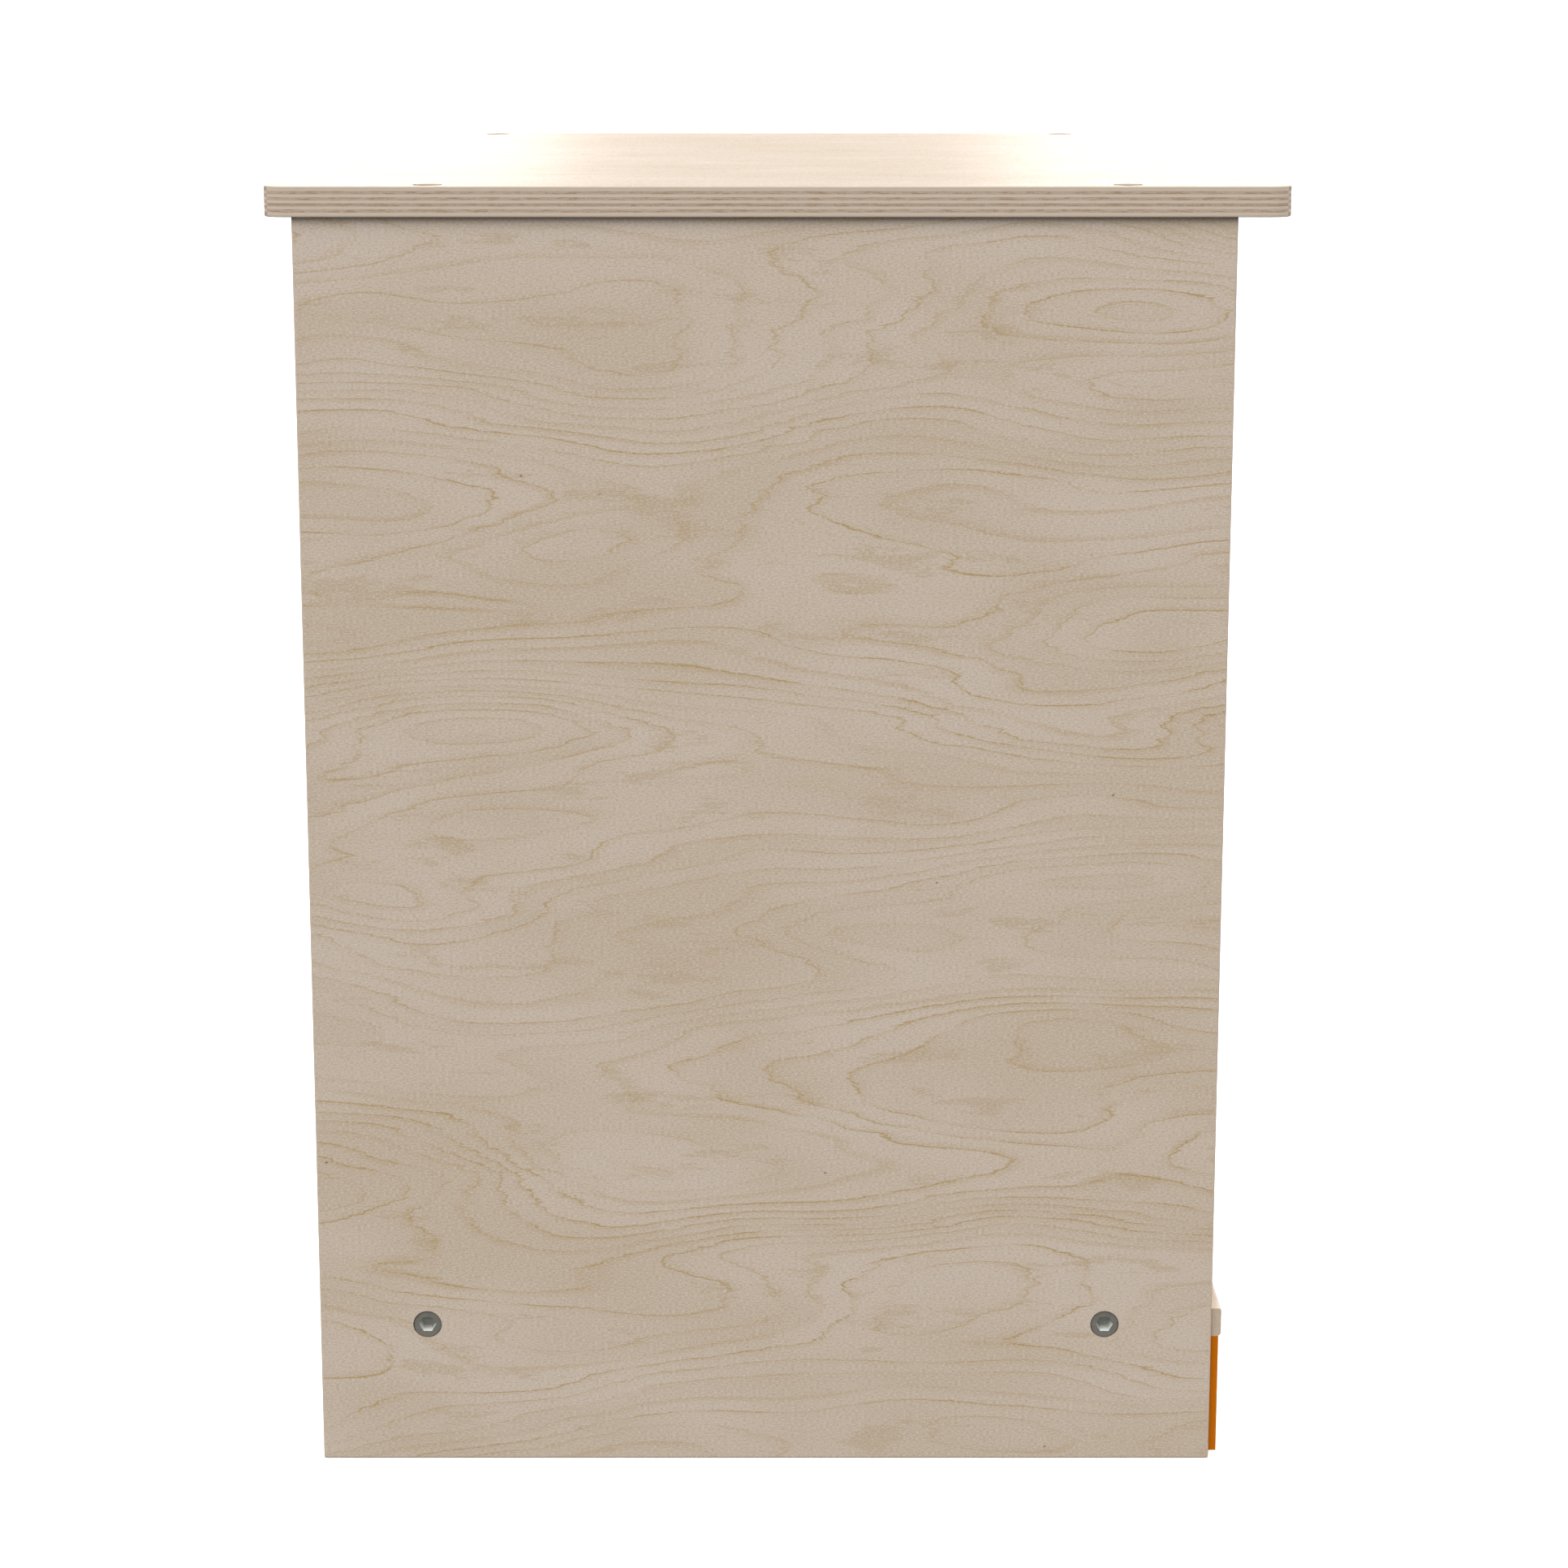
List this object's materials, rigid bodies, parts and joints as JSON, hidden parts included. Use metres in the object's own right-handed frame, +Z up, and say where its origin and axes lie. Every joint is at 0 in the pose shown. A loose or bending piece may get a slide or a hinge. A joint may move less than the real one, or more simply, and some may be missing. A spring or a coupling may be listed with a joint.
{
  "type": "book drop box",
  "caption": "Plywood return box: overhanging bolted top, front slot with an inward-swinging flap, chute, and a lockable door above a shelf lip and kick board.",
  "frame": {"origin": "on the floor, at the middle of the top panel's footprint", "axes": "+Z up, -Y towards the front with the slot and door, +X towards the lock side (the right, seen from the front)"},
  "size_m": [0.606, 0.602, 0.79],
  "materials": {
    "birch_plywood": "clear matt lacquer, laid veneer faces and banded ply edges",
    "solid_birch": "planed and lacquered solid strip",
    "beech": "planed solid wood",
    "orange_paint": "orange satin paint on plywood",
    "orange_powder_coat": "orange powder coat, fine texture",
    "bolt_steel": "dark grey matt plating",
    "zinc_steel": "zinc plated",
    "nickel_plate": "nickel plated, satin",
    "black_rubber": "matt",
    "white_nylon": "natural nylon"
  },
  "bodies": {
    "cabinet": {"side_panel_left": "birch_plywood", "side_panel_right": "birch_plywood", "top_panel": "birch_plywood", "bottom_shelf": "birch_plywood", "shelf_lipping": "solid_birch", "plinth_rail": "birch_plywood", "kick_board": "orange_paint", "back_panel": "birch_plywood", "front_fascia": "birch_plywood", "top_bolts": "bolt_steel", "top_barrel_nuts": "zinc_steel", "shelf_bolts_left": "bolt_steel", "shelf_bolts_right": "bolt_steel", "shelf_barrel_nuts": "zinc_steel", "top_dowels": "beech", "shelf_dowels": "beech", "rail_dowels": "beech", "fascia_dowels": "beech", "kick_board_screws": "zinc_steel", "flap_rod": "zinc_steel", "flap_rod_clips": "zinc_steel", "flap_bracket_left": "zinc_steel", "flap_bracket_right": "zinc_steel", "flap_bracket_screws": "zinc_steel", "flap_buffers": "black_rubber", "chute_board": "birch_plywood", "chute_cleat_left": "beech", "chute_cleat_right": "beech", "chute_screws": "zinc_steel", "cleat_screws": "zinc_steel", "frame_pivot_plate_lower": "zinc_steel", "frame_pivot_plate_upper": "zinc_steel", "pivot_pin_lower": "zinc_steel", "pivot_pin_upper": "zinc_steel", "pivot_washer": "white_nylon", "frame_pivot_screws": "zinc_steel", "door_stop": "beech", "door_stop_screws": "zinc_steel", "door_buffers": "black_rubber"},
    "flap": {"drop_flap": "orange_powder_coat"},
    "door": {"access_door": "orange_paint", "door_pivot_plate_lower": "zinc_steel", "door_pivot_plate_upper": "zinc_steel", "door_pivot_screws": "zinc_steel", "lock_barrel": "nickel_plate", "lock_nut": "nickel_plate"},
    "lock_core": {"lock_plug": "nickel_plate", "lock_cam": "zinc_steel", "lock_cam_screw": "zinc_steel"}
  },
  "joints": [
    {"name": "flap_swing", "type": "hinge", "parent": "cabinet", "child": "flap", "pos_m": [0, -0.2393, 0.726], "axis": [1, 0, 0], "range_deg": [0, 80]},
    {"name": "door_swing", "type": "hinge", "parent": "cabinet", "child": "door", "pos_m": [-0.269, -0.2555, 0.325], "axis": [0, 0, -1], "range_deg": [0, 95]},
    {"name": "lock_turn", "type": "hinge", "parent": "door", "child": "lock_core", "pos_m": [0.246, -0.2555, 0.3248], "axis": [0, -1, 0], "range_deg": [0, 90]}
  ]
}
